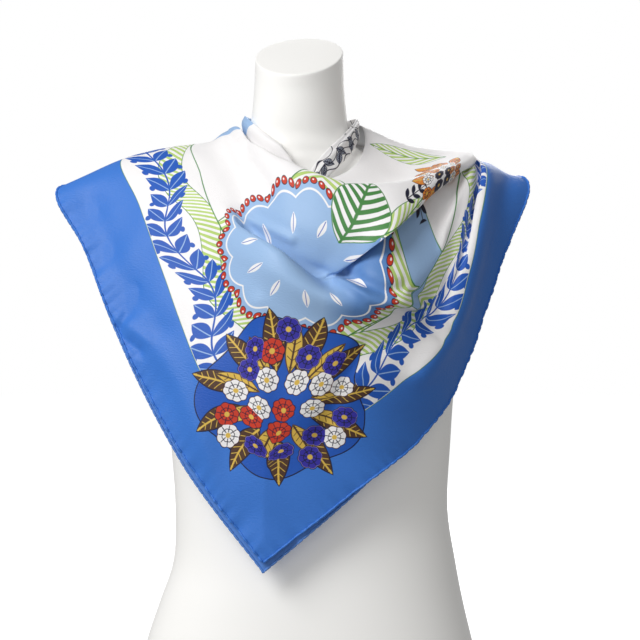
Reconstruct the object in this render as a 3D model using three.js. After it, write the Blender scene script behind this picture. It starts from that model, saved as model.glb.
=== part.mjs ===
// A silk square scarf, folded once on the diagonal and worn point down over a limbless dress form.
// Millimetres, +Z up, the wearer's front faces -Y. The origin is the middle of the form's flat base.
import * as THREE from "three";

// The cloth: a hand-rolled hem runs round a twill square, and the folded square hangs in two layers
const WALL = 1.3;
const HEM_ROLL = 2.4;
const HEM_REACH = 4;
const BORDER_WIDTH = 60;
const UNDER_DEPTH = 2.7;

// The front view that the fold lines were laid out in. Sizes hold at the chest plane, and what lies
// nearer or farther is drawn in or spread about the eye's level line of sight.
const CHEST_PLANE = -120;
const EYE_DISTANCE = 2000;
const EYE_ACROSS = 10;
const EYE_HEIGHT = 420;

// The nape, where the two wings and the two tails of the scarf meet in the knot
const NAPE = { across: -12, depth: 68, top: 630, band: 44, halfGap: 16.8, pleat: 5 };
const BLADE = { depth: 62, bulge: 22, sag: 22, pleat: 5 };
const KNOT = { halfWidth: 16.4, halfDepth: 18.5, low: 582, high: 636, square: 3 };

// The tails: flat rolls of silk that run from the knot round the neck and down inside the cowl
const TAIL = { halfHeight: 12, halfThickness: 3.4, sides: 14 };
const LEFT_TAIL = [
  { across: -28.3, depth: 57, height: 616 },
  { across: -50, depth: 44, height: 621 },
  { across: -67, depth: 20, height: 625 },
  { across: -69.5, depth: -6, height: 624 },
  { across: -59.5, depth: -35, height: 612 },
  { across: -43, depth: -50, height: 598 },
  { across: -24, depth: -56, height: 584 },
  { across: -10, depth: -58, height: 573 },
];
const RIGHT_TAIL = [
  { across: 5, depth: 57, height: 614 },
  { across: 27, depth: 44.5, height: 620 },
  { across: 46, depth: 20, height: 624 },
  { across: 49, depth: -6, height: 620 },
  { across: 41, depth: -34, height: 606 },
  { across: 29, depth: -49, height: 592 },
  { across: 14, depth: -56, height: 578 },
  { across: 3, depth: -59, height: 568 },
];

// The form, a row for each level from the base up: its middle, half width, and depth to front and back
const FORM_LEVELS = [
  { height: 0, middle: 0, half: 186, front: 112, back: 112, square: 2.3 },
  { height: 40, middle: 0, half: 182, front: 110, back: 110, square: 2.3 },
  { height: 82, middle: -1, half: 172, front: 104, back: 104, square: 2.3 },
  { height: 124, middle: 1, half: 160, front: 99, back: 96, square: 2.3 },
  { height: 166, middle: 4, half: 149, front: 95, back: 86, square: 2.3 },
  { height: 220, middle: 1, half: 144, front: 93, back: 76, square: 2.3 },
  { height: 293, middle: 0, half: 148, front: 100, back: 78, square: 2.35 },
  { height: 351, middle: -2, half: 154, front: 110, back: 84, square: 2.4 },
  { height: 400, middle: -3, half: 161, front: 113, back: 88, square: 2.4 },
  { height: 450, middle: -5, half: 172, front: 104, back: 88, square: 2.35 },
  { height: 500, middle: -8, half: 185, front: 80, back: 82, square: 2.25 },
  { height: 525, middle: -10, half: 189, front: 66, back: 73, square: 2.1 },
  { height: 545, middle: -11, half: 186, front: 57, back: 64, square: 1.95 },
  { height: 558, middle: -12, half: 176, front: 50, back: 58, square: 1.8 },
  { height: 570, middle: -12, half: 158, front: 47, back: 54, square: 1.62 },
  { height: 580, middle: -12, half: 127, front: 46.5, back: 51, square: 1.52 },
  { height: 589, middle: -12, half: 94.5, front: 47, back: 50, square: 1.6 },
  { height: 596, middle: -12, half: 72.5, front: 46.5, back: 49.5, square: 1.8 },
  { height: 603, middle: -12, half: 60, front: 47, back: 49, square: 2.0 },
  { height: 614, middle: -12, half: 54, front: 47, back: 49, square: 2.0 },
  { height: 632, middle: -12, half: 51, front: 50, back: 49, square: 2.0 },
  { height: 660, middle: -12, half: 48, front: 53, back: 48, square: 2.0 },
  { height: 702, middle: -12, half: 46.5, front: 56, back: 46, square: 2.0 },
];
const NECK_CUT = { slope: 0.5, lean: 0.07 };
const FORM_COLUMNS = 52;

// The fold lines of the outer layer, from the neckline to the hem. Each runs from the nape over the left
// shoulder, down across the front and up over the right shoulder. A station is [across, height, depth]
// in the front view, pleat says which way the line turns in the gathers at the nape, and pointed lines
// turn a corner at the middle, where the square's own corner hangs.
const FOLD_LINES = [
  {
    name: "neckline",
    pleat: -1,
    pointed: false,
    leftShoulder: [-72, 602, 16],
    leftUpper: [-74, 594, -16],
    leftChest: [-63, 583, -46],
    leftFront: [-25, 563, -62],
    middle: [-4, 556, -68],
    rightFront: [23, 562, -60],
    rightBreast: [40, 570, -48],
    rightChest: [50, 580, -34],
    rightUpper: [56, 598, -8],
    rightShoulder: [52, 614, 13],
  },
  {
    name: "hollow_behind_the_cowl",
    pleat: -0.4,
    pointed: false,
    leftShoulder: [-77, 599, 18],
    leftUpper: [-78, 589, -18],
    leftChest: [-54, 570, -50],
    leftFront: [-12, 543, -76],
    middle: [25, 525, -88],
    rightFront: [66, 535, -80],
    rightBreast: [84, 550, -60],
    rightChest: [95, 564, -36],
    rightUpper: [103, 579, -12],
    rightShoulder: [105, 593, 10],
  },
  {
    name: "cowl_top",
    pleat: 1,
    pointed: false,
    leftShoulder: [-81, 611, 15],
    leftUpper: [-72, 613, -15],
    leftChest: [-56, 597, -55],
    leftFront: [-17, 577, -93],
    middle: [30, 560, -114],
    rightFront: [78, 557, -110],
    rightBreast: [104, 563, -90],
    rightChest: [128, 571, -64],
    rightUpper: [146, 579, -30],
    rightShoulder: [156, 589, 12],
  },
  {
    name: "cowl_face",
    pleat: 0,
    pointed: false,
    leftShoulder: [-98, 599, 11],
    leftUpper: [-88, 583, -32],
    leftChest: [-67, 560, -66],
    leftFront: [-20, 522, -124],
    middle: [30, 508, -140],
    rightFront: [80, 528, -140],
    rightBreast: [104, 542, -120],
    rightChest: [127, 558, -90],
    rightUpper: [148, 572, -46],
    rightShoulder: [162, 587, 8],
  },
  {
    name: "cowl_lower_edge",
    pleat: 1,
    pointed: false,
    leftShoulder: [-119, 596, 10],
    leftUpper: [-105, 572, -42],
    leftChest: [-78, 536, -82],
    leftFront: [-26, 465, -120],
    middle: [23, 468, -130],
    rightFront: [75, 502, -158],
    rightBreast: [99, 523, -132],
    rightChest: [123, 545, -98],
    rightUpper: [147, 564, -48],
    rightShoulder: [166, 582, 4],
  },
  {
    name: "swag_top",
    pleat: -1,
    pointed: false,
    leftShoulder: [-126, 595, 10],
    leftUpper: [-113, 566, -46],
    leftChest: [-83, 527, -92],
    leftFront: [-28, 493, -150],
    middle: [21, 461, -127],
    rightFront: [68, 535, -122],
    rightBreast: [94, 548, -98],
    rightChest: [118, 560, -72],
    rightUpper: [137, 569, -34],
    rightShoulder: [152, 577, 0],
  },
  {
    name: "swag_face",
    pleat: 1,
    pointed: false,
    leftShoulder: [-134, 594, 10],
    leftUpper: [-122, 559, -50],
    leftChest: [-89, 513, -98],
    leftFront: [-36, 472, -158],
    middle: [23, 442, -166],
    rightFront: [80, 440, -162],
    rightBreast: [103, 452, -146],
    rightChest: [131, 490, -112],
    rightUpper: [152, 535, -74],
    rightShoulder: [160, 574, 5],
  },
  {
    name: "hollow_below_the_swag",
    pleat: -1,
    pointed: false,
    leftShoulder: [-144, 592, 10],
    leftUpper: [-133, 551, -50],
    leftChest: [-99, 496, -92],
    leftFront: [-49, 447, -146],
    middle: [20, 412, -155],
    rightFront: [80, 416, -144],
    rightBreast: [107, 431, -125],
    rightChest: [132, 457, -114],
    rightUpper: [156, 518, -80],
    rightShoulder: [162, 575, 6],
  },
  {
    name: "front_panel",
    pleat: 1,
    pointed: false,
    leftShoulder: [-160, 589, 10],
    leftUpper: [-147, 540, -50],
    leftChest: [-111, 469, -92],
    leftFront: [-71, 399, -128],
    middle: [-21, 339, -144],
    rightFront: [42, 358, -144],
    rightBreast: [86, 390, -136],
    rightChest: [120, 422, -124],
    rightUpper: [159, 503, -86],
    rightShoulder: [165, 576, 7],
  },
  {
    name: "border_line",
    pleat: -1,
    pointed: true,
    leftShoulder: [-188, 581, 9],
    leftUpper: [-171, 534, -42],
    leftChest: [-145, 460, -82],
    leftFront: [-107, 362, -120],
    middle: [-44, 268, -134],
    rightFront: [36, 316, -136],
    rightBreast: [88, 354, -130],
    rightChest: [131, 397, -120],
    rightUpper: [166, 508, -84],
    rightShoulder: [168, 577, 9],
  },
  {
    name: "hem",
    pleat: 0,
    pointed: true,
    leftShoulder: [-252, 552, 8],
    leftUpper: [-226, 493, -33],
    leftChest: [-192, 407, -72],
    leftFront: [-124, 280, -113],
    middle: [-47, 177, -128],
    rightFront: [60, 260, -124],
    rightBreast: [109, 299, -100],
    rightChest: [145, 350, -72],
    rightUpper: [195, 486, -38],
    rightShoulder: [215, 562, 28],
  },
];
const FRONT_STATIONS = [
  "leftShoulder",
  "leftUpper",
  "leftChest",
  "leftFront",
  "middle",
  "rightFront",
  "rightBreast",
  "rightChest",
  "rightUpper",
  "rightShoulder",
];
const MIDDLE_STATION = 6;
const HEM_ROW = FOLD_LINES.length - 1;

// How far the under layer's hem shows past the outer one, at each front station
const UNDER_REACH = [1.5, 2, 4, 13, 14, 2, -1, -1, 0.5, 1.5];

function place([across, height, depth]) {
  const spread = 1 + (depth - CHEST_PLANE) / EYE_DISTANCE;
  return new THREE.Vector3(
    EYE_ACROSS + (across - EYE_ACROSS) * spread,
    depth,
    EYE_HEIGHT + (height - EYE_HEIGHT) * spread,
  );
}

// A smooth curve through the points, one unit of the way for each span, with a corner if one is asked for
function curveThrough(points, cornerAt = null) {
  if (cornerAt === null) {
    const whole = new THREE.CatmullRomCurve3(points, false, "centripetal");
    return (way) => whole.getPoint(way / (points.length - 1));
  }
  const before = curveThrough(points.slice(0, cornerAt + 1));
  const after = curveThrough(points.slice(cornerAt));
  return (way) => (way <= cornerAt ? before(way) : after(way - cornerAt));
}

// Where a fold line enters the knot, and where it lies halfway between the shoulder and the knot
function backStations(line, share, shoulder, side) {
  const nape = new THREE.Vector3(
    NAPE.across + side * NAPE.halfGap,
    NAPE.depth + NAPE.pleat * line.pleat,
    NAPE.top - NAPE.band * share,
  );
  const blade = shoulder.clone().lerp(nape, 0.5);
  blade.y = BLADE.depth + BLADE.bulge * share * (1 - share) + BLADE.pleat * line.pleat;
  blade.z -= BLADE.sag * share;
  return [nape, blade];
}

function foldCurve(line, row) {
  const share = row / HEM_ROW;
  const front = FRONT_STATIONS.map((station) => place(line[station]));
  const [napeLeft, bladeLeft] = backStations(line, share, front[0], -1);
  const [napeRight, bladeRight] = backStations(line, share, front.at(-1), 1);
  const points = [napeLeft, bladeLeft, ...front, bladeRight, napeRight];
  return curveThrough(points, line.pointed ? MIDDLE_STATION : null);
}

const foldCurves = FOLD_LINES.map(foldCurve);

// The outer layer's section at a station, a curve from the neckline (row 0) to the hem
function sectionAt(station) {
  return curveThrough(foldCurves.map((curve) => curve(station)));
}

// Steps along a run of spans, so many to each span, with the end of the last one
function steps(first, counts) {
  const inner = counts.flatMap((count, n) =>
    Array.from({ length: count }, (_, i) => first + n + i / count),
  );
  return [...inner, first + counts.length];
}

function geometryFrom(points, faces) {
  const geometry = new THREE.BufferGeometry();
  const positions = points.flatMap((p) => [p.x, p.y, p.z]);
  geometry.setAttribute("position", new THREE.Float32BufferAttribute(positions, 3));
  geometry.setIndex(faces);
  return geometry;
}

// A closed body from rings of points that run anticlockwise seen from the last ring, both ends capped
function bodyFromRings(rings) {
  const count = rings[0].length;
  const points = rings.flat();
  const faces = [];
  for (let i = 0; i + 1 < rings.length; i++)
    for (let j = 0; j < count; j++) {
      const a = i * count + j;
      const b = i * count + ((j + 1) % count);
      faces.push(a, b, b + count, a, b + count, a + count);
    }
  for (const ring of [0, rings.length - 1]) {
    const centre = rings[ring].reduce((sum, p) => sum.add(p), new THREE.Vector3());
    points.push(centre.divideScalar(count));
    const at = points.length - 1;
    for (let j = 0; j < count; j++) {
      const a = ring * count + j;
      const b = ring * count + ((j + 1) % count);
      faces.push(...(ring === 0 ? [b, a, at] : [a, b, at]));
    }
  }
  return geometryFrom(points, faces);
}

// The outward direction at each point of a grid, from its neighbours
function gridNormals(grid) {
  const clamp = (n, top) => Math.min(Math.max(n, 0), top);
  return grid.map((line, i) =>
    line.map((_, j) => {
      const up = grid[clamp(i - 1, grid.length - 1)][j];
      const down = grid[clamp(i + 1, grid.length - 1)][j];
      const left = line[clamp(j - 1, line.length - 1)];
      const right = line[clamp(j + 1, line.length - 1)];
      return down.clone().sub(up).cross(right.clone().sub(left)).normalize();
    }),
  );
}

// A closed wall about a grid of points. halfWall gives its half thickness at each row, and depth is how far
// the whole wall lies inside the grid.
function wallFromGrid(grid, halfWall, depth = 0) {
  const rows = grid.length;
  const columns = grid[0].length;
  const normals = gridNormals(grid);
  const face = (sign) =>
    grid.map((line, i) =>
      line.map((p, j) => p.clone().addScaledVector(normals[i][j], sign * halfWall(i) - depth)),
    );
  const points = [...face(1).flat(), ...face(-1).flat()];
  const at = (i, j, side) => side * rows * columns + i * columns + j;
  const faces = [];
  for (let i = 0; i + 1 < rows; i++)
    for (let j = 0; j + 1 < columns; j++)
      for (const side of [0, 1]) {
        const [a, b] = [at(i, j, side), at(i, j + 1, side)];
        const [c, d] = [at(i + 1, j + 1, side), at(i + 1, j, side)];
        faces.push(...(side ? [a, b, c, a, c, d] : [a, c, b, a, d, c]));
      }
  const rim = [];
  for (let j = 0; j < columns; j++) rim.push([0, j]);
  for (let i = 1; i < rows; i++) rim.push([i, columns - 1]);
  for (let j = columns - 2; j >= 0; j--) rim.push([rows - 1, j]);
  for (let i = rows - 2; i > 0; i--) rim.push([i, 0]);
  rim.forEach(([i, j], n) => {
    const [k, l] = rim[(n + 1) % rim.length];
    const [a, b, c, d] = [at(i, j, 0), at(k, l, 0), at(k, l, 1), at(i, j, 1)];
    faces.push(a, b, c, a, c, d);
  });
  return geometryFrom(points, faces);
}

// Half the wall's thickness at a distance from its edge, where it swells into the rolled hem
function hemHalfWall(distance) {
  const roll = Math.sqrt(Math.max(0, 1 - (distance / HEM_REACH - 0.5) ** 2 / 0.36));
  return Math.max(WALL, HEM_ROLL * roll) / 2;
}

// The outer layer, whole: cowl, front panel, and the wings over both shoulders to the knot
const STATION_STEPS = [4, 6, 5, 6, 8, 8, 8, 6, 6, 6, 5, 6, 4];
const ROW_STEPS = [2, 3, 3, 3, 3, 3, 3, 3, 3, 2];

function outerLayer() {
  const rows = steps(0, ROW_STEPS);
  const hemRows = [HEM_REACH, HEM_REACH / 2].map((mm) => HEM_ROW - mm / BORDER_WIDTH);
  rows.splice(-1, 0, ...hemRows);
  const grid = rows.map(() => []);
  for (const station of steps(0, STATION_STEPS)) {
    const section = sectionAt(station);
    rows.forEach((row, i) => grid[i].push(section(row)));
  }
  return wallFromGrid(grid, (i) => hemHalfWall((HEM_ROW - rows[i]) * BORDER_WIDTH));
}

// The under layer: the square's other half, which shows past the outer hem. Only its lower stretch is
// built, since the outer layer hides and backs the rest.
const UNDER_ROWS = [9.12, 9.56, HEM_ROW];
const UNDER_STEPS = STATION_STEPS.slice(1, -1);

function underReach(station) {
  const along = Math.min(Math.max(station - 2, 0), UNDER_REACH.length - 1.001);
  const n = Math.floor(along);
  return THREE.MathUtils.lerp(UNDER_REACH[n], UNDER_REACH[n + 1], along - n);
}

function underLayer() {
  const grid = [...UNDER_ROWS, 0, 0].map(() => []);
  for (const station of steps(1, UNDER_STEPS)) {
    const section = sectionAt(station);
    const points = UNDER_ROWS.map(section);
    const hem = points.at(-1);
    const down = hem.clone().sub(section(HEM_ROW - 0.08)).normalize();
    const end = hem.clone().addScaledVector(down, underReach(station));
    points.splice(-1, 1, end.clone().addScaledVector(down, -HEM_REACH));
    points.push(end.clone().addScaledVector(down, -HEM_REACH / 2), end);
    points.forEach((point, i) => grid[i].push(point));
  }
  const last = grid.length - 1;
  return wallFromGrid(grid, (i) => hemHalfWall(((last - i) * HEM_REACH) / 2), UNDER_DEPTH);
}

// A tail: flat rounded sections along a route, upright against the neck
function tail(route) {
  const line = curveThrough(route.map((p) => new THREE.Vector3(p.across, p.depth, p.height)));
  const spans = steps(0, Array(route.length - 1).fill(3));
  const rings = spans.map((way) => {
    const at = line(way);
    const along = line(Math.min(way + 0.05, route.length - 1)).sub(line(Math.max(way - 0.05, 0)));
    along.normalize();
    const out = new THREE.Vector3(at.x - NAPE.across, at.y, 0).normalize();
    const up = out.clone().cross(along).normalize();
    if (up.z < 0) up.negate();
    const across = along.clone().cross(up).normalize();
    return Array.from({ length: TAIL.sides }, (_, n) => {
      const angle = (2 * Math.PI * n) / TAIL.sides;
      return at
        .clone()
        .addScaledVector(up, TAIL.halfHeight * Math.sin(angle))
        .addScaledVector(across, TAIL.halfThickness * -Math.cos(angle));
    });
  });
  return bodyFromRings(rings);
}

// A flat oval ring of the form or the knot: square above 2 makes it boxier, below 2 more pointed
function ovalRing(columns, level, height) {
  return Array.from({ length: columns }, (_, n) => {
    const angle = (2 * Math.PI * n) / columns;
    const bend = (v) => Math.sign(v) * Math.abs(v) ** (2 / level.square);
    const x = level.half * bend(Math.cos(angle));
    const y = (Math.sin(angle) < 0 ? level.front : level.back) * bend(Math.sin(angle));
    return new THREE.Vector3(level.middle + x, y + (level.depth ?? 0), height(x, y));
  });
}

function knot() {
  const levels = steps(0, [9]).map((way) => {
    const swell = Math.sqrt(1 - (way * 1.88 - 0.94) ** 2) ** 0.4;
    return {
      middle: NAPE.across,
      depth: NAPE.depth,
      half: KNOT.halfWidth * swell,
      front: KNOT.halfDepth * swell,
      back: KNOT.halfDepth * swell,
      square: KNOT.square,
      height: THREE.MathUtils.lerp(KNOT.low, KNOT.high, way),
    };
  });
  return bodyFromRings(levels.map((level) => ovalRing(24, level, () => level.height)));
}

function dressForm() {
  const top = FORM_LEVELS.at(-1).height;
  return bodyFromRings(
    FORM_LEVELS.map((level) => {
      const cut = level.height === top;
      const height = (x, y) => level.height + (cut ? NECK_CUT.slope * y + NECK_CUT.lean * x : 0);
      return ovalRing(FORM_COLUMNS, level, height);
    }),
  );
}

const scarfOnForm = new THREE.Group();
function add(name, geometry, color, roughness) {
  const material = new THREE.MeshStandardMaterial({ color, roughness, metalness: 0 });
  const mesh = new THREE.Mesh(geometry, material);
  mesh.name = name;
  scarfOnForm.add(mesh);
}

add("dress_form", dressForm(), 0xe9e7e2, 0.5);
add("outer_layer", outerLayer(), 0x4a80d6, 0.4);
add("under_layer", underLayer(), 0x3f78c8, 0.4);
add("left_tail", tail(LEFT_TAIL), 0xf3f1ee, 0.4);
add("right_tail", tail(RIGHT_TAIL), 0xdfe0df, 0.4);
add("nape_knot", knot(), 0x86a8dc, 0.4);

export default scarfOnForm;
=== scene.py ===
"""A silk square scarf, folded once on the diagonal and worn point down over a limbless dress form."""

import math
from types import SimpleNamespace as Sizes

import bpy
import numpy as np
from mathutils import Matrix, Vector


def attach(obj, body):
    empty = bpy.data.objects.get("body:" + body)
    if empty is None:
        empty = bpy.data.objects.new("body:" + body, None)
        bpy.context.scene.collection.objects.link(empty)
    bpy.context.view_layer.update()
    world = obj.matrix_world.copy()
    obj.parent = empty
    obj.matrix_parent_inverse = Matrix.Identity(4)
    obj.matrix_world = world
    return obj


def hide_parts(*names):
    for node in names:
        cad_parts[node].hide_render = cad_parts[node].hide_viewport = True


# The front view that the cloth was laid out in: sizes hold at the chest plane, and what lies nearer or
# farther is drawn in or spread about the eye's level line of sight.
CHEST_PLANE = -120.0
EYE_DISTANCE = 2000.0
EYE_ACROSS = 10.0
EYE_HEIGHT = 420.0
MM = 0.001

# The cut: a square, folded once on the diagonal, with a plain border inside a rolled hem. All but the
# border's width is in metres and square metres.
BORDER_WIDTH = 60.0

# The nape, where both wings of the scarf meet in the knot, and the shoulder blade that each passes over.
# Pleat is how far a fold line turns out or in there.
NAPE = Sizes(across=-12.0, depth=68.0, top=630.0, band=44.0, half_gap=16.8, pleat=5.0)
BLADE = Sizes(depth=62.0, bulge=22.0, sag=22.0, pleat=5.0)

# The fold lines from the neckline to the hem. Each has the way it turns in the gathers at the nape, and
# its stations from the left shoulder over the front to the right shoulder, as across, height, depth.
FOLD_LINES = {
    "neckline": (-1, [
        (-72, 602, 16), (-74, 594, -16), (-63, 583, -46), (-25, 563, -62), (-4, 556, -68),
        (23, 562, -60), (40, 570, -48), (50, 580, -34), (56, 598, -8), (52, 614, 13)]),
    "hollow_behind_the_cowl": (-0.4, [
        (-77, 599, 18), (-78, 589, -18), (-54, 570, -50), (-12, 543, -76), (25, 525, -88),
        (66, 535, -80), (84, 550, -60), (95, 564, -36), (103, 579, -12), (105, 593, 10)]),
    "cowl_top": (1, [
        (-81, 611, 15), (-72, 613, -15), (-56, 597, -55), (-17, 577, -93), (30, 560, -114),
        (78, 557, -110), (104, 563, -90), (128, 571, -64), (146, 579, -30), (156, 589, 12)]),
    "cowl_face": (0, [
        (-98, 599, 11), (-88, 583, -32), (-67, 560, -66), (-20, 522, -124), (30, 508, -140),
        (80, 528, -140), (104, 542, -120), (127, 558, -90), (148, 572, -46), (162, 587, 8)]),
    "cowl_lower_edge": (1, [
        (-119, 596, 10), (-105, 572, -42), (-78, 536, -82), (-26, 465, -120), (23, 468, -130),
        (75, 502, -158), (99, 523, -132), (123, 545, -98), (147, 564, -48), (166, 582, 4)]),
    "swag_top": (-1, [
        (-126, 595, 10), (-113, 566, -46), (-83, 527, -92), (-28, 493, -150), (21, 461, -127),
        (68, 535, -122), (94, 548, -98), (118, 560, -72), (137, 569, -34), (152, 577, 0)]),
    "swag_face": (1, [
        (-134, 594, 10), (-122, 559, -50), (-89, 513, -98), (-36, 472, -158), (23, 442, -166),
        (80, 440, -162), (103, 452, -146), (131, 490, -112), (152, 535, -74), (160, 574, 5)]),
    "hollow_below_the_swag": (-1, [
        (-144, 592, 10), (-133, 551, -50), (-99, 496, -92), (-49, 447, -146), (20, 412, -155),
        (80, 416, -144), (107, 431, -125), (132, 457, -114), (156, 518, -80), (162, 575, 6)]),
    "front_panel": (1, [
        (-160, 589, 10), (-147, 540, -50), (-111, 469, -92), (-71, 399, -128), (-21, 339, -144),
        (42, 358, -144), (86, 390, -136), (120, 422, -124), (159, 503, -86), (165, 576, 7)]),
    "border_line": (-1, [
        (-188, 581, 9), (-171, 534, -42), (-145, 460, -82), (-107, 362, -120), (-44, 268, -134),
        (36, 316, -136), (88, 354, -130), (131, 397, -120), (166, 508, -84), (168, 577, 9)]),
    "hem": (0, [
        (-252, 552, 8), (-226, 493, -33), (-192, 407, -72), (-124, 280, -113), (-47, 177, -128),
        (60, 260, -124), (109, 299, -100), (145, 350, -72), (195, 486, -38), (215, 562, 28)]),
}
POINTED = ("border_line", "hem")
MIDDLE_STATION = 6
BORDER_ROW = 9
HEM_ROW = 10

# How finely each span between two stations, and between two fold lines, is drawn, and how many times
# coarser it is flattened
STATION_STEPS = [14, 22, 22, 30, 36, 36, 36, 28, 26, 28, 22, 22, 14]
ROW_STEPS = [14, 18, 26, 28, 26, 26, 28, 36, 40, 34]
COARSER = Sizes(stations=5, rows=6)


def place(stations):
    """Places in the row frame for stations given in the front view."""
    across, height, depth = np.asarray(stations, float).T
    spread = 1 + (depth - CHEST_PLANE) / EYE_DISTANCE
    x = EYE_ACROSS + (across - EYE_ACROSS) * spread
    z = EYE_HEIGHT + (height - EYE_HEIGHT) * spread
    return np.stack([x, depth, z], -1)


def front_view(points):
    """Across and height in the front view for points in the row frame."""
    spread = 1 + (points[..., 1] - CHEST_PLANE) / EYE_DISTANCE
    across = EYE_ACROSS + (points[..., 0] - EYE_ACROSS) / spread
    height = EYE_HEIGHT + (points[..., 2] - EYE_HEIGHT) / spread
    return np.stack([across, height], -1)


def curve_through(points, way):
    """A centripetal curve through points, one unit of the way for each span. Axis 0 runs along it."""
    points = np.asarray(points, float)
    way = np.asarray(way, float)
    span = np.clip(np.floor(way).astype(int), 0, len(points) - 2)
    share = (way - span).reshape(-1, *[1] * (points.ndim - 1))
    before = 2 * points[:1] - points[1:2]
    after = 2 * points[-1:] - points[-2:-1]
    padded = np.concatenate([before, points, after])
    p = [padded[span + k] for k in range(4)]
    gap = [((p[k + 1] - p[k]) ** 2).sum(-1, keepdims=True) ** 0.25 for k in range(3)]
    gap[1] = np.where(gap[1] < 1e-4, 1.0, gap[1])
    gap[0] = np.where(gap[0] < 1e-4, gap[1], gap[0])
    gap[2] = np.where(gap[2] < 1e-4, gap[1], gap[2])
    leave = (p[1] - p[0]) / gap[0] - (p[2] - p[0]) / (gap[0] + gap[1]) + (p[2] - p[1]) / gap[1]
    reach = (p[2] - p[1]) / gap[1] - (p[3] - p[1]) / (gap[1] + gap[2]) + (p[3] - p[2]) / gap[2]
    leave = leave * gap[1]
    reach = reach * gap[1]
    square = 3 * (p[2] - p[1]) - 2 * leave - reach
    cube = 2 * (p[1] - p[2]) + leave + reach
    return p[1] + leave * share + square * share ** 2 + cube * share ** 3


def fold_curve(row, name, stations):
    """One fold line, from the nape over the left blade, across the front and back to the nape."""
    pleat, places = FOLD_LINES[name]
    share = row / HEM_ROW
    front = place(places)

    def over_the_blade(shoulder, side):
        nape = np.array([
            NAPE.across + side * NAPE.half_gap,
            NAPE.depth + NAPE.pleat * pleat,
            NAPE.top - NAPE.band * share])
        blade = (shoulder + nape) / 2
        blade[1] = BLADE.depth + BLADE.bulge * share * (1 - share) + BLADE.pleat * pleat
        blade[2] -= BLADE.sag * share
        return nape, blade

    nape_left, blade_left = over_the_blade(front[0], -1)
    nape_right, blade_right = over_the_blade(front[-1], 1)
    points = np.array([nape_left, blade_left, *front, blade_right, nape_right])
    if name not in POINTED:
        return curve_through(points, stations)
    left = stations <= MIDDLE_STATION
    first = curve_through(points[: MIDDLE_STATION + 1], stations[left])
    second = curve_through(points[MIDDLE_STATION:], stations[~left] - MIDDLE_STATION)
    return np.concatenate([first, second])


def cloth_points(rows, stations):
    """The cloth's middle surface, a grid of rows from the neckline to the hem by stations."""
    lines = np.array([fold_curve(row, name, stations) for row, name in enumerate(FOLD_LINES)])
    return curve_through(lines, rows)


def steps(first, counts):
    """Values from first on, with each unit in turn cut into so many steps."""
    inner = [first + n + i / count for n, count in enumerate(counts) for i in range(count)]
    return np.array([*inner, first + len(counts)])


def unit(vectors):
    return vectors / np.maximum(np.linalg.norm(vectors, axis=-1, keepdims=True), 1e-9)


def grid_normals(grid):
    """The outward direction at each point of a grid of rows downwards by stations to the right."""
    return unit(np.cross(np.gradient(grid, axis=0), np.gradient(grid, axis=1)))


# The flat cut. A place on it is (u, v): how far it lies from the left hem and from the right hem. Each
# section runs straight in from its hem, and turns from one hem's way to the other's round the tip.
TURN_STATIONS = (0, 2, 6, 11, 13)
TURN_DEGREES = (0.0, 0.0, 45.0, 90.0, 90.0)

# How the cloth slackens: places too far apart pull a little, and those that crowd push
SLACKEN = Sizes(rounds=1500, pull=0.35, move=1.6)
EVEN_PASSES = 14


def run_length(points, axis):
    """Distance along the grid's lines from their first point."""
    spans = np.linalg.norm(np.diff(points, axis=axis), axis=-1)
    pad = [(1, 0) if n == axis else (0, 0) for n in range(spans.ndim)]
    return np.pad(np.cumsum(spans, axis=axis), pad)


def hem_frame(points, stations, inset):
    """Flat places of a pointed line that runs at a constant inset from the hems."""
    along = run_length(points, 0)
    middle = np.searchsorted(stations, MIDDLE_STATION)
    along = inset + np.abs(along - along[middle])
    left = stations <= MIDDLE_STATION
    return np.where(left[:, None], np.stack([np.full_like(along, inset), along], -1),
                    np.stack([along, np.full_like(along, inset)], -1))


def flat_start(grid, rows, stations):
    """A first guess of the flat places: each section laid straight from the border into the cloth."""
    at_border = rows.tolist().index(BORDER_ROW)
    border = hem_frame(grid[at_border], stations, BORDER_WIDTH)
    hem = hem_frame(grid[-1], stations, 0.0)
    from_top = run_length(grid, 0)
    inward = from_top[at_border] - from_top[: at_border + 1]
    turn = np.interp(stations, TURN_STATIONS, TURN_DEGREES) * math.pi / 180
    direction = np.stack([np.cos(turn), np.sin(turn)], -1)
    upper = border + inward[..., None] * direction
    share = (rows[at_border + 1:] - BORDER_ROW)[:, None, None]
    lower = border + (hem - border) * share
    return np.concatenate([upper, lower]), at_border


def neighbours(height, width):
    """Pairs of a grid's places that keep their distance: next to each other, aslant and two apart."""
    pairs = []
    for down, right in ((1, 0), (0, 1), (1, 1), (1, -1), (2, 0), (0, 2)):
        i, j = np.mgrid[0:height - down, max(0, -right):width - max(0, right)]
        first = (i * width + j).ravel()
        pairs.append(np.stack([first, first + down * width + right], -1))
    return np.concatenate(pairs)


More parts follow.
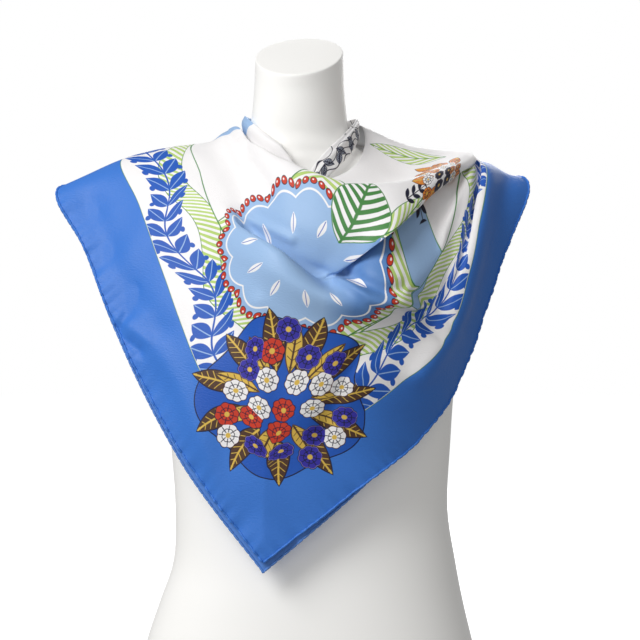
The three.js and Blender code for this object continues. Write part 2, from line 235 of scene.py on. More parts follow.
def flatten(grid, rows, stations):
    """Flat places for a coarse grid of the cloth: its border is held and the rest is let slacken."""
    flat, at_border = flat_start(grid, rows, stations)
    height, width = grid.shape[:2]
    pairs = neighbours(height, width)
    solid = grid.reshape(-1, 3)
    rest = np.linalg.norm(solid[pairs[:, 0]] - solid[pairs[:, 1]], axis=-1)
    places = flat.reshape(-1, 2).copy()
    free = np.arange(height * width) < at_border * width
    count = np.bincount(pairs.ravel(), minlength=height * width)[:, None]
    for _ in range(SLACKEN.rounds):
        gap = places[pairs[:, 1]] - places[pairs[:, 0]]
        length = np.maximum(np.linalg.norm(gap, axis=-1), 1e-6)
        strain = (length - rest) / length
        strain = np.where(strain > 0, SLACKEN.pull * strain, strain)
        pull = gap * strain[:, None] * 0.5
        move = np.zeros_like(places)
        for k in range(2):
            move[:, k] += np.bincount(pairs[:, 0], pull[:, k], height * width)
            move[:, k] -= np.bincount(pairs[:, 1], pull[:, k], height * width)
        places[free] += (SLACKEN.move * move / count)[free]
    return evened(places.reshape(height, width, 2), at_border)


def evened(flat, at_border):
    """Takes the buckles out of the flat places above the border."""
    for _ in range(EVEN_PASSES):
        beside = flat.copy()
        beside[:, 1:-1] = (flat[:, :-2] + flat[:, 2:]) / 2
        above = beside.copy()
        above[1:-1] = (beside[:-2] + beside[2:]) / 2
        flat = np.concatenate([(flat + above)[:at_border] / 2, flat[at_border:]])
    return flat


def refine(coarse, coarse_rows, coarse_stations, rows, stations):
    """A coarse grid of values read off at finer rows and stations."""
    by_row = np.stack([
        [np.interp(rows, coarse_rows, column) for column in coarse[..., k].T] for k in range(2)], -1)
    columns = by_row.transpose(1, 0, 2)
    return np.stack([
        [np.interp(stations, coarse_stations, line) for line in columns[..., k]] for k in range(2)], -1)


# Meshes

def add_mesh(name, points, faces, flat=None):
    """Points in the row frame and their flat places are both given in millimetres."""
    mesh = bpy.data.meshes.new(name)
    mesh.from_pydata((np.asarray(points) * MM).tolist(), [], [list(face) for face in faces])
    mesh.polygons.foreach_set("use_smooth", [True] * len(mesh.polygons))
    if flat is not None:
        layer = mesh.uv_layers.new(name="flat")
        corner = np.empty(len(mesh.loops), np.int32)
        mesh.loops.foreach_get("vertex_index", corner)
        layer.data.foreach_set("uv", (np.asarray(flat)[corner] * MM).astype(np.float32).ravel())
    mesh.update()
    obj = bpy.data.objects.new(name, mesh)
    bpy.context.scene.collection.objects.link(obj)
    return obj


def grid_faces(rows, columns):
    i, j = np.mgrid[0:rows - 1, 0:columns - 1]
    at = i * columns + j
    return np.stack([at, at + columns, at + columns + 1, at + 1], -1).reshape(-1, 4).tolist()


def ring_faces(rings, count):
    """Faces of a closed body whose rings run anticlockwise seen from the last ring."""
    i, j = np.mgrid[0:rings - 1, 0:count]
    low = i * count + j
    near = i * count + (j + 1) % count
    sides = np.stack([low, near, near + count, low + count], -1).reshape(-1, 4).tolist()
    first = list(range(count))[::-1]
    last = list(range((rings - 1) * count, rings * count))
    return [*sides, first, last]


def finish_piece(obj, material, node):
    """Gives a piece its material, hangs it under the root, and hides the CAD node that it dresses."""
    obj.data.materials.append(material)
    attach(obj, "root")
    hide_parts(node)
    return obj


# The outer layer's finer folds. Each stands out so far from the cloth (less than 0 is a valley) with so
# wide a flank, lies between two fold lines and two stations, and runs through across, height places.
FINE_FOLDS = [
    # out, width, fold lines, stations, course
    (-4, 5, (5.8, 9), (7, 9.6), [(84, 429), (107, 424), (122, 410), (138, 397)]),
    (-3.5, 5, (5.4, 9), (7, 9.6), [(104, 447), (127, 434), (146, 412)]),
    (-3.5, 6, (3.6, 5.6), (3.2, 6.6), [(-70, 518), (-48, 505), (-25, 493), (-10, 482), (23, 461)]),
    (3, 5, (2.4, 4.4), (3.4, 5.4), [(-66, 522), (-40, 512), (-18, 501)]),
    (-3, 4.5, (8.9, 10.4), (2.8, 5), [(-216, 420), (-194, 406), (-170, 388)]),
    (-3, 4, (9, 10.4), (2.8, 5), [(-194, 409), (-183, 428), (-176, 452)]),
    (2.5, 6, (8.9, 10.4), (2.8, 5), [(-212, 436), (-190, 420), (-162, 400)]),
    (-3.5, 8, (-0.2, 3.6), (3, 5.2), [(-68, 598), (-62, 578), (-48, 562), (-42, 546)]),
    (6, 12, (8.4, 10.2), (8, 11.4), [(174, 566), (170, 510), (160, 455), (140, 405), (112, 366)]),
    (-3, 9, (8.8, 10.4), (8.4, 11.4), [(198, 560), (190, 510), (176, 460), (158, 412)]),
    (3.5, 5, (4.2, 9.2), (9, 11.2), [(165, 583), (147, 540), (128, 490)]),
    (3, 4.5, (5.4, 9.2), (9, 11.2), [(164, 580), (155, 525), (143, 465)]),
    (-3, 4.5, (4.4, 9.2), (9, 11.2), [(163, 580), (140, 535), (112, 497)]),
    (6, 5.5, (4.8, 7.4), (5.9, 9.2), [(18, 463), (40, 453), (60, 441), (76, 437), (92, 438), (110, 434)]),
    (-6, 6, (4.8, 7), (5.9, 9), [(34, 469), (54, 459), (74, 451), (94, 453)]),
    (-3, 15, (9, 10.2), (2.2, 4.6), [(-222, 540), (-196, 470), (-158, 410)]),
    (3, 12, (8, 10), (3.4, 5.4), [(-168, 420), (-128, 350), (-86, 250)]),
    (-2.5, 5, (0.4, 3.2), (2, 4.2), [(-84, 612), (-78, 596), (-70, 580)]),
    (2.5, 10, (6.6, 9), (4.4, 6), [(-52, 436), (-46, 380), (-50, 300)]),
    (-2.5, 9, (7.2, 9.4), (6.4, 8.4), [(60, 410), (30, 350), (10, 300)]),
]

# Ripples all over, the deepest valley that clears the under layer, and the hem's waves, calmer on the right
RIPPLE = Sizes(out=0.55, rows=(0.5, 11), stations=(1.5, 11.5))
DEEPEST_OVER_UNDER = -3.2
PUCKER = Sizes(out=1.1, pitch=15.0, reach=8.0)
WAVE = Sizes(out=1.3, pitch=74.0, reach=34.0)
WAVY_STATIONS = (2.2, 10.8)
CALMER_RIGHT = 0.45
CALMING_STATIONS = (6, 8)
SOFT_TIP = Sizes(rows=(8.2, 11), stations=(5.2, 6.8), reach=8)
WINDOW_EDGE = 0.4


def with_soft_tip(grid, rows, stations):
    """Eases the depth across the middle, where the hems meet in the hanging point."""
    reach = SOFT_TIP.reach
    weights = np.hanning(2 * reach + 3)[1:-1]
    padded = np.pad(grid[..., 1], ((0, 0), (reach, reach)), mode="edge")
    eased = np.array([np.convolve(line, weights / weights.sum(), mode="valid") for line in padded])
    inside = patch(rows, stations, SOFT_TIP.rows, SOFT_TIP.stations)
    depth = grid[..., 1] + inside * (eased - grid[..., 1])
    return np.stack([grid[..., 0], depth, grid[..., 2]], -1)


def beside(places, course):
    """Distance from places to a course of straight runs."""
    nearest = np.full(places.shape[:-1], np.inf)
    for start, end in zip(course, course[1:]):
        run = np.subtract(end, start).astype(float)
        share = np.clip(((places - start) @ run) / (run @ run), 0, 1)
        nearest = np.minimum(nearest, np.linalg.norm(places - start - share[..., None] * run, axis=-1))
    return nearest


def window(values, low, high):
    """1 between low and high and 0 beyond them, with soft edges."""
    rise = np.clip((values - low) / WINDOW_EDGE + 0.5, 0, 1)
    fall = np.clip((high - values) / WINDOW_EDGE + 0.5, 0, 1)
    share = rise * fall
    return share * share * (3 - 2 * share)


def patch(rows, stations, row_range, station_range):
    """1 on one patch of the cloth and 0 off it, with soft edges."""
    return np.outer(window(rows, *row_range), window(stations, *station_range))


def ripples(u, v):
    """Crossing swells that never quite repeat, from -1 to 1."""
    return np.sin(u / 13 + 1.7 * np.sin(v / 37)) * np.sin(v / 17 + 1.3 * np.sin(u / 29))


def with_fine_folds(grid, flat, rows, stations):
    """Moves the cloth in and out for its finer folds, its ripples and the waves along its hem."""
    view = front_view(grid)
    out = np.zeros(grid.shape[:2])
    for height, wide, row_range, station_range, course in FINE_FOLDS:
        inside = patch(rows, stations, row_range, station_range)
        out += height * inside * np.exp(-(beside(view, course) / wide) ** 2)
    u, v = flat[..., 0], flat[..., 1]
    out += RIPPLE.out * ripples(u, v) * patch(rows, stations, RIPPLE.rows, RIPPLE.stations)
    inset, along = np.minimum(u, v), np.maximum(u, v)
    front = window(stations, *WAVY_STATIONS) * np.interp(stations, CALMING_STATIONS, (1, CALMER_RIGHT))
    for wave in (PUCKER, WAVE):
        turn = along * 2 * math.pi / wave.pitch
        out += wave.out * front * np.sin(turn + 2 * np.sin(turn / 5.3)) * np.exp(-inset / wave.reach)
    over_under = rows > UNDER_ROWS[0] - 0.5
    out[over_under] = np.maximum(out[over_under], DEEPEST_OVER_UNDER)
    return grid + out[..., None] * grid_normals(grid)


# The neckline is the square's diagonal fold, so the cloth turns over it and runs down inside
TURN_RADIUS = 1.1
TURNED_IN = 7.0
TURN_ANGLES = (180, 144, 108, 72, 36)


def with_turned_edge(grid, flat):
    """Adds the rows that turn over the fold and run down inside."""
    normal = grid_normals(grid)[0]
    up = unit(grid[0] - grid[1])
    away = unit(flat[0] - flat[1])
    added = [grid[0] - 2 * TURN_RADIUS * normal - TURNED_IN * up]
    added_flat = [flat[0] + (math.pi * TURN_RADIUS + TURNED_IN) * away]
    for degrees in TURN_ANGLES:
        angle = math.radians(degrees)
        inward = TURN_RADIUS * (1 - math.cos(angle))
        added.append(grid[0] - inward * normal + TURN_RADIUS * math.sin(angle) * up)
        added_flat.append(flat[0] + TURN_RADIUS * angle * away)
    return np.concatenate([added, grid]), np.concatenate([added_flat, flat])


# The hand-rolled hem: a thin roll of cloth, drawn in by a slip stitch every few millimetres
HEM_RADIUS = 1.35
STITCH_PITCH = 8.4
STITCH_WIDTH = 0.9
STITCH_PULL = 0.6
HEM_STEP = 1.2
HEM_SIDES = 8


def add_hem(name, grid, flat):
    """A roll along the grid's last row."""
    path = grid[-1]
    length = run_length(path, 0)
    along = np.linspace(0, length[-1], int(length[-1] / HEM_STEP))

    def read(values):
        return np.stack([np.interp(along, length, values[:, k]) for k in range(values.shape[1])], -1)

    path, places, normal = read(path), read(flat[-1]), read(grid_normals(grid)[-1])
    forward = unit(np.gradient(path, axis=0))
    side = unit(np.cross(forward, normal))
    up = np.cross(side, forward)
    stitch = np.exp(-((along % STITCH_PITCH - STITCH_PITCH / 2) / STITCH_WIDTH) ** 2)
    radius = HEM_RADIUS - STITCH_PULL * stitch
    angle = np.linspace(0, 2 * math.pi, HEM_SIDES, endpoint=False)[None, :, None]
    round_ = np.cos(angle) * side[:, None] - np.sin(angle) * up[:, None]
    rings = path[:, None] + radius[:, None, None] * round_
    ring_flat = np.repeat(places, HEM_SIDES, 0)
    return add_mesh(name, rings.reshape(-1, 3), ring_faces(len(along), HEM_SIDES), ring_flat)


# The under layer, whose hem shows past the outer one by so much at each station from the second on
UNDER_DEPTH = 4.2
UNDER_ROWS = np.linspace(9.12, 10, 11)
UNDER_REACH = [1.5, 2, 4, 13, 14, 2, -1, -1, 0.5, 1.5]
FIRST_REACH_STATION = 2


def under_points(stations):
    """The under layer's strip, behind the outer cloth and drawn down past its hem."""
    points = cloth_points(UNDER_ROWS, stations)
    down = unit(points[-1] - points[-2])
    reach = np.interp(stations - FIRST_REACH_STATION, range(len(UNDER_REACH)), UNDER_REACH)
    share = (UNDER_ROWS - UNDER_ROWS[0])[:, None, None]
    points = points + share ** 2 * reach[:, None] * down
    return points - UNDER_DEPTH * grid_normals(points)


# The tails: flat rolls of silk from the knot round the neck and down inside the cowl
TAIL = Sizes(half_height=12.0, half_thickness=3.4, sides=44, steps=16)
TUCK = Sizes(stations=1.6, sink=0.8)
LEFT_CREASES = {"count": 4, "deep": 0.16, "twist": 0.5, "drawn_in": 0.6}
RIGHT_CREASES = {"count": 5, "deep": 0.2, "twist": 0.8, "drawn_in": 0.25}
LEFT_TAIL = [
    (-28.3, 57, 616), (-50, 44, 621), (-67, 20, 625), (-69.5, -6, 624),
    (-59.5, -35, 612), (-43, -50, 598), (-24, -56, 584), (-10, -58, 573)]
RIGHT_TAIL = [
    (5, 57, 614), (27, 44.5, 620), (46, 20, 624), (49, -6, 620),
    (41, -34, 606), (29, -49, 592), (14, -56, 578), (3, -59, 568)]


def add_tail(name, route, count, deep, twist, drawn_in):
    """A flat roll with so many soft creases round it, so deep, that twist as they run along it. Its end
    is drawn in where it is tucked into the cowl."""
    way = steps(0, [TAIL.steps] * (len(route) - 1))
    path = curve_through(route, way)
    forward = unit(np.gradient(path, axis=0))
    out = path * (1, 1, 0) - (NAPE.across, 0, 0)
    up = unit(np.cross(unit(out), forward))
    up *= np.sign(up[:, 2:])
    across = unit(np.cross(forward, up))
    angle = np.linspace(0, 2 * math.pi, TAIL.sides, endpoint=False)[None, :, None]
    wave = np.cos(count * angle + twist * way[:, None, None])
    swell = 1 - deep * (1 - wave) * np.abs(np.cos(angle))
    tuck = TUCK.stations
    narrow = 1 - drawn_in * np.clip(way - (way[-1] - tuck), 0, tuck) / tuck
    path = path - TAIL.half_height * (1 - narrow)[:, None] * up * TUCK.sink
    high = TAIL.half_height * narrow[:, None, None] * np.sin(angle) * (1 - 0.5 * deep * (1 - wave))
    thick = -TAIL.half_thickness * np.cos(angle) * swell
    rings = path[:, None] + high * up[:, None] + thick * across[:, None]
    around = TAIL.half_height * np.sin(angle[..., 0])
    flat = np.stack(np.broadcast_arrays(run_length(path, 0)[:, None], around), -1)
    faces = ring_faces(len(way), TAIL.sides)
    return add_mesh(name, rings.reshape(-1, 3), faces, flat.reshape(-1, 2))


# The knot at the nape, and the form. Ovals are boxier than an ellipse above 2 and more pointed below.
KNOT = Sizes(half_width=16.4, half_depth=18.5, low=582.0, high=636.0, square=3.0,
             rings=60, sides=72, closed=0.94, round=0.4, wind=30, wrap_depth=0.05)
FORM_LEVELS = [
    # height, middle, half width, front, back, square
    (0, 0, 186, 112, 112, 2.3), (40, 0, 182, 110, 110, 2.3), (82, -1, 172, 104, 104, 2.3),
    (124, 1, 160, 99, 96, 2.3), (166, 4, 149, 95, 86, 2.3), (220, 1, 144, 93, 76, 2.3),
    (293, 0, 148, 100, 78, 2.35), (351, -2, 154, 110, 84, 2.4), (400, -3, 161, 113, 88, 2.4),
    (450, -5, 172, 104, 88, 2.35), (500, -8, 185, 80, 82, 2.25), (525, -10, 189, 66, 73, 2.1),
    (545, -11, 186, 57, 64, 1.95), (558, -12, 176, 50, 58, 1.8), (570, -12, 158, 47, 54, 1.62),
    (580, -12, 127, 46.5, 51, 1.52), (589, -12, 94.5, 47, 50, 1.6), (596, -12, 72.5, 46.5, 49.5, 1.8),
    (603, -12, 60, 47, 49, 2), (614, -12, 54, 47, 49, 2), (632, -12, 51, 50, 49, 2),
    (660, -12, 48, 53, 48, 2), (702, -12, 46.5, 56, 46, 2)]
NECK_CUT = Sizes(slope=0.5, lean=0.07, round=1.6, rings=5)
FORM_FINE = Sizes(sides=128, rings=5)


def oval(angle, half, front, back, square):
    """x and y round an oval, with its own depth in front and behind."""
    def bend(value):
        return np.sign(value) * np.abs(value) ** (2 / square)

    deep = np.where(np.sin(angle) < 0, front, back)
    return half * bend(np.cos(angle)), deep * bend(np.sin(angle))


def add_form():
    """The torso form, with its neck cut at a slant and the cut's rim rounded over."""
    levels = np.array(FORM_LEVELS, float)
    fine = curve_through(levels, steps(0, [FORM_FINE.rings] * (len(levels) - 1)))
    angle = np.linspace(0, 2 * math.pi, FORM_FINE.sides, endpoint=False)
    rings = []
    for height, middle, half, front, back, square in fine:
        x, y = oval(angle, half, front, back, square)
        cut = NECK_CUT.slope * y + NECK_CUT.lean * x - NECK_CUT.round
        risen = np.clip((height - levels[-2, 0]) / (levels[-1, 0] - levels[-2, 0]), 0, 1)
        rings.append(np.stack([middle + x, y, height + risen * cut], -1))
    rim = rings[-1]
    centre = rim.mean(0)
    reach = np.linalg.norm(rim - centre, axis=-1, keepdims=True)
    for turn in np.linspace(0, math.pi / 2, NECK_CUT.rings + 1)[1:]:
        drawn_in = NECK_CUT.round * (1 - math.cos(turn)) / reach
        rings.append(rim + (centre - rim) * drawn_in + (0, 0, NECK_CUT.round * math.sin(turn)))
    rings = np.array(rings)
    return add_mesh("form", rings.reshape(-1, 3), ring_faces(len(rings), FORM_FINE.sides))


def add_knot():
    """A rounded block of cloth, with the wrap's turns winding up it."""
    rings, sides = KNOT.rings, KNOT.sides
    way = np.linspace(0, 1, rings)
    swell = np.sqrt(1 - (way * (2 * KNOT.closed) - KNOT.closed) ** 2) ** KNOT.round
    angle = np.linspace(0, 2 * math.pi, sides, endpoint=False)
    x, y = oval(angle, KNOT.half_width, KNOT.half_depth, KNOT.half_depth, KNOT.square)
    wrap = 1 - KNOT.wrap_depth * (1 - np.cos(angle[None] * 2 + way[:, None] * KNOT.wind))
    swell = swell[:, None] * wrap
    height = KNOT.low + (KNOT.high - KNOT.low) * way[:, None]
    points = np.broadcast_arrays(NAPE.across + x * swell, NAPE.depth + y * swell, height)
    flat = np.broadcast_arrays(angle * KNOT.half_width, height)
    faces = ring_faces(rings, sides)
    return add_mesh("knot", np.stack(points, -1).reshape(-1, 3), faces, np.stack(flat, -1).reshape(-1, 2))


# Shader arithmetic

# How fast one colour gives way to the next across its edge, in shares for each millimetre
EDGE_SHARPNESS = 1.8


def linear(red, green, blue):
    """A colour given as it looks, from 0 to 255, as the linear light that shaders take."""
    return tuple(
        (value / 255 / 12.92) if value < 10.3 else ((value / 255 + 0.055) / 1.055) ** 2.4
        for value in (red, green, blue)) + (1.0,)


class Field:
    """A number that a material works out at each place. Arithmetic on it adds the shader's nodes."""

    def __init__(self, socket):
        self.socket = socket

    def __add__(self, other):
        return worked("ADD", self, other)

    def __sub__(self, other):
        return worked("SUBTRACT", self, other)

    def __rsub__(self, other):
        return worked("SUBTRACT", other, self)

    def __mul__(self, other):
        return worked("MULTIPLY", self, other)

    def __truediv__(self, other):
        return worked("DIVIDE", self, other)

    def __mod__(self, other):
        return worked("FLOORED_MODULO", self, other)

    def __abs__(self):
        return worked("ABSOLUTE", self)


def worked(kind, *values):
    """One of the shader's own sums, on fields and plain numbers."""
    tree = next(value.socket.id_data for value in values if isinstance(value, Field))
    node = tree.nodes.new("ShaderNodeMath")
    node.operation = kind
    for socket, value in zip(node.inputs, values):
        if isinstance(value, Field):
            tree.links.new(value.socket, socket)
        else:
            socket.default_value = value
    return Field(node.outputs[0])


def least(first, *others):
    for other in others:
        first = worked("MINIMUM", first, other)
    return first


def most(first, other):
    return worked("MAXIMUM", first, other)


def sine(field):
    return worked("SINE", field)


def length_of(x, y):
    return worked("SQRT", x * x + y * y)


def turned(x, y, degrees):
    """x and y in axes turned anticlockwise by so many degrees."""
    c, s = math.cos(math.radians(degrees)), math.sin(math.radians(degrees))
    return x * c + y * s, y * c - x * s


class Paint:
    """Colours laid one over another on a surface, each inside its own outline."""

    def __init__(self, material, ground):
        self.tree = material.node_tree
        self.ground = ground
        self.top = None

    def lay(self, depth, colour):
        """depth is how far inside the colour's edge a place lies, in millimetres."""
        share = worked("MULTIPLY_ADD", depth, EDGE_SHARPNESS, 0.5)
        share.socket.node.use_clamp = True
        mix = self.tree.nodes.new("ShaderNodeMix")
        mix.data_type = "RGBA"
        self.tree.links.new(share.socket, mix.inputs["Factor"])
        below, above = [s for s in mix.inputs if s.type == "RGBA"]
        if self.top is None:
            below.default_value = linear(*self.ground)
        else:
            self.tree.links.new(self.top, below)
        above.default_value = linear(*colour)
        self.top = next(s for s in mix.outputs if s.type == "RGBA")


# The print. Places on it are distances u and v from the two hems, q and p the lesser and the greater of
# them, s across and t up the square's diagonal, all in millimetres.
BORDER_BLUE = (62, 124, 214)
REVERSE_BLUE = (88, 138, 214)
ROYAL = (36, 92, 190)
PALE_BLUE = (160, 193, 232)
# Painted shade: the darker blue of the medallion's shaded right side
PAINTED_SHADE_BLUE = (96, 140, 200)
WHITE = (250, 248, 248)
LIME = (188, 216, 120)
GREEN = (74, 138, 72)
VERMILION = (208, 62, 40)
VIOLET = (58, 52, 168)
BROWN = (84, 58, 44)
OCHRE = (228, 190, 84)
ORANGE = (232, 138, 52)
INK = (28, 28, 52)
GREY = (150, 156, 170)

BORDER_RIM = 0.6
BAND = Sizes(inner=144, outer=61, stem=91, ribbon=120, swing=12, wave=150, rim=0.8)
RIBBON = Sizes(half=14, stripe=6.8, lean=0.8, rim=0.5)
GARLAND = Sizes(pitch=21, leaf=30, half=7.4, splay=50, vein=0.45, vein_inset=1.2,
                stem=1, berry=3.2, berry_out=20, berry_shift=5)
MEDALLION = Sizes(s=-22, t=332, radius=92, scallop=8, lobes=14, line=1,
                  line_inset=9, deeper=48, fade=0.018)
BEADS = Sizes(count=66, radius=3.3, rim=0.8, glint=1, glint_shift=0.8)
PETALS = Sizes(count=12, start=52, length=20, half=3.6, vein=0.4, vein_inset=0.8)
LOZENGE = Sizes(s=-14, t=322, half_width=128, half_height=146, rim=0.7)
CHEVRONS = Sizes(pitch=9.6, lean=0.7)
SIDE_PANEL = Sizes(s=106, t=346, half_width=44, half_height=60, rim=1.2)
SHOULDER_PATCH = Sizes(s=-166, t=452)
LEAF_STRIPES = Sizes(pitch=10, lean=1.1, rib=0.9, rim=1)
STRIPED_LEAVES = [
    # s, t, way it points in degrees, length, half width, colour
    (30, 404, 28, 66, 15, LIME), (10, 384, 76, 78, 19, GREEN), (190, 500, 106, 68, 21, LIME)]
# A sprig's measures are shares of its leaf length, but for its stem and its splay
SPRIG = Sizes(stem=0.6, long=1.6, pitch=0.5, splay=48, leaf=0.6, half=0.13)
SPRIGS = [
    # s, t, way it points in degrees, leaf length
    (62, 440, 20, 22), (84, 412, -20, 20), (112, 400, -70, 20)]
RAY = Sizes(rim=1.1, rib=0.9, vein=0.45, vein_pitch=7, vein_inset=1, lean=0.8)
CORNER_PANEL = Sizes(radius=81, wave=6, waves=5, rim=1.2)
CORNER_BOUQUET = Sizes(s=0, t=166, reach=72, cell=26)
CORNER_HEART = Sizes(s=3, t=172)
SHOULDER_BOUQUET = Sizes(s=134, t=462, reach=48, cell=19)
# A blossom's measures are shares of the cell it stands in, but for the inked lines and the petals' inset
BLOSSOM = Sizes(radius=0.4, lobe=0.05, lobes=8, ring=0.22, ring_lobe=0.03, eye=0.1,
                petal_from=0.12, petal_line=0.5, petal_lean=0.28, petal_inset=0.6, ring_line=0.4,
                rim=0.9)
RANDOMNESS = 0.5


def polar(x, y):
    return length_of(x, y), worked("ARCTAN2", y, x)


def from_ray(angle, count, r):
    """How far a place lies round the circle from the nearest of so many rays."""
    step = 2 * math.pi / count
    return (angle % step - step / 2) * r


def lines(across, pitch, half):
    """Parallel lines of so wide a half, a pitch apart."""
    return half - abs(across % pitch - pitch / 2)


def leaf(x, y, length, half):
    """A pointed leaf that runs along x from its base."""
    share = (x - length / 2) / (length / 2)
    return (1 - share * share) * half - abs(y)


def lay_ribbon(paint, inside, q, p, swing):
    across = q - BAND.ribbon - swing
    ribbon = least(RIBBON.half - abs(across), inside)
    stripe = lines(p + across * RIBBON.lean, RIBBON.stripe, RIBBON.stripe / 4)
    paint.lay(ribbon, WHITE)
    paint.lay(least(ribbon, stripe), LIME)
    paint.lay(least(RIBBON.rim - abs(abs(across) - RIBBON.half), inside), GREEN)


def lay_garland(paint, inside, q, p, swing):
    """Leaves and berries on both sides of a winding stem."""
    side = abs(q - BAND.stem + swing)
    pitch = GARLAND.pitch
    x, y = turned(p % pitch, side, GARLAND.splay)
    blade = leaf(x, y, GARLAND.leaf, GARLAND.half)
    paint.lay(least(blade, inside), ROYAL)
    paint.lay(least(GARLAND.vein - abs(y), blade - GARLAND.vein_inset, inside), PALE_BLUE)
    paint.lay(least(GARLAND.stem - side, inside), ROYAL)
    berry = length_of((p + GARLAND.berry_shift) % pitch - pitch / 2, side - GARLAND.berry_out)
    paint.lay(least(GARLAND.berry - berry, inside), ROYAL)


def lay_border_band(paint, q, p):
    """A garland, and a striped ribbon that winds beside it."""
    inside = least(q - BAND.outer, BAND.inner - q)
    swing = sine(p * (2 * math.pi / BAND.wave)) * BAND.swing
    lay_ribbon(paint, inside, q, p, swing)
    lay_garland(paint, inside, q, p, swing)
    paint.lay(BAND.rim - abs(q - BAND.inner), GREEN)


def lay_beads(paint, along, out):
    """Round beads, each with a dark rim and a glint."""
    bead = BEADS.radius - length_of(along, out)
    shift = BEADS.glint_shift
    paint.lay(bead + BEADS.rim, INK)
    paint.lay(bead, VERMILION)
    paint.lay(BEADS.glint - length_of(along - shift, out - shift), WHITE)


def lay_medallion(paint, s, t):
    """A scalloped disc with beads on its edge and petals inside, its right side a darker blue as painted
    shade.
    """
    x, y = s - MEDALLION.s, t - MEDALLION.t
    r, angle = polar(x, y)
    edge = abs(sine(angle * (MEDALLION.lobes / 2))) * MEDALLION.scallop + MEDALLION.radius
    paint.lay(edge - r, PALE_BLUE)
    # Painted shade: the disc's right side turns a darker blue, standing in for the shade under the cowl's
    # fold edge
    paint.lay(least(edge - r, (x - MEDALLION.deeper) * MEDALLION.fade), PAINTED_SHADE_BLUE)
    lay_beads(paint, from_ray(angle, BEADS.count, r), r - edge)
    paint.lay(MEDALLION.line - abs(r - edge + MEDALLION.line_inset), WHITE)
    across = from_ray(angle, PETALS.count, r)
    petal = leaf(r - PETALS.start, across, PETALS.length, PETALS.half)
    paint.lay(petal, WHITE)
    paint.lay(least(PETALS.vein - abs(across), petal - PETALS.vein_inset), ROYAL)


def lozenge(s, t, shape):
    """How far inside a lozenge a place lies."""
    wide, high = shape.half_width, shape.half_height
    out = abs(s - shape.s) / wide + abs(t - shape.t) / high
    return (1 - out) * (wide * high / math.hypot(wide, high))


def lay_lozenges(paint, s, t):
    """A light-blue panel at the side, and lime chevrons behind the medallion."""
    panel = lozenge(s, t, SIDE_PANEL)
    paint.lay(panel + SIDE_PANEL.rim, GREEN)
    paint.lay(panel, PALE_BLUE)
    depth = lozenge(s, t, LOZENGE)
    rise = abs(s - LOZENGE.s) * CHEVRONS.lean + (t - LOZENGE.t)
    paint.lay(depth, WHITE)
    paint.lay(least(depth, lines(rise, CHEVRONS.pitch, CHEVRONS.pitch / 4)), LIME)
    paint.lay(LOZENGE.rim - abs(depth), GREEN)


def lay_striped_leaves(paint, s, t):
    pitch, rim = LEAF_STRIPES.pitch, LEAF_STRIPES.rim
    for base_s, base_t, degrees, length, half, colour in STRIPED_LEAVES:
        x, y = turned(s - base_s, t - base_t, degrees)
        blade = leaf(x, y, length, half)
        stripe = lines(x - abs(y) * LEAF_STRIPES.lean, pitch, pitch / 4)
        paint.lay(blade + rim, GREEN)
        paint.lay(blade, WHITE)
        paint.lay(least(blade, stripe), colour)
        paint.lay(least(LEAF_STRIPES.rib - abs(y), blade + rim), GREEN)


def lay_sprigs(paint, s, t):
    """Short stems with leaves in pairs."""
    for base_s, base_t, degrees, length in SPRIGS:
        x, y = turned(s - base_s, t - base_t, degrees)
        inside = least(x, length * SPRIG.long - x)
        paint.lay(least(SPRIG.stem - abs(y), inside), INK)
        along, side = turned(x % (length * SPRIG.pitch), abs(y), SPRIG.splay)
        paint.lay(least(leaf(along, side, length * SPRIG.leaf, length * SPRIG.half), inside), INK)


def lay_rays(paint, s, t, place, count, start, length, half, colours):
    """Leaves set all round a bouquet, in the colours of the rim, the face and the rib."""
    rim, face, rib = colours
    r, angle = polar(s - place.s, t - place.t)
    across = from_ray(angle, count, r)
    blade = leaf(r - start, across, length, half)
    paint.lay(blade + RAY.rim, rim)
    paint.lay(blade, face)
    paint.lay(least(RAY.rib - abs(across), blade), rib)
    vein = lines(r - abs(across) * RAY.lean, RAY.vein_pitch, RAY.vein)
    paint.lay(least(vein, blade - RAY.vein_inset), rib)


def scattered(tree, x, y):
    """Places strewn one to each unit cell: the nearest one's x and y, and a chance number of its own."""
    joined = tree.nodes.new("ShaderNodeCombineXYZ")
    tree.links.new(x.socket, joined.inputs[0])
    tree.links.new(y.socket, joined.inputs[1])
    cells = tree.nodes.new("ShaderNodeTexVoronoi")
    cells.voronoi_dimensions = "2D"
    cells.inputs["Scale"].default_value = 1.0
    cells.inputs["Randomness"].default_value = RANDOMNESS
    tree.links.new(joined.outputs[0], cells.inputs["Vector"])
    middle = tree.nodes.new("ShaderNodeSeparateXYZ")
    tree.links.new(cells.outputs["Position"], middle.inputs[0])
    chance = tree.nodes.new("ShaderNodeSeparateColor")
    tree.links.new(cells.outputs["Color"], chance.inputs[0])
    return Field(middle.outputs[0]), Field(middle.outputs[1]), Field(chance.outputs[0])


# Cells are counted from below the tip. Steep slopes make a blossom whole or absent, and all one colour,
# which starts at its own chance number.
CELLS_BELOW = 40
STEEP_NEAR = 60
STEEP_COLOUR = 900
COLOUR_STARTS = (-1, 0.38, 0.68)


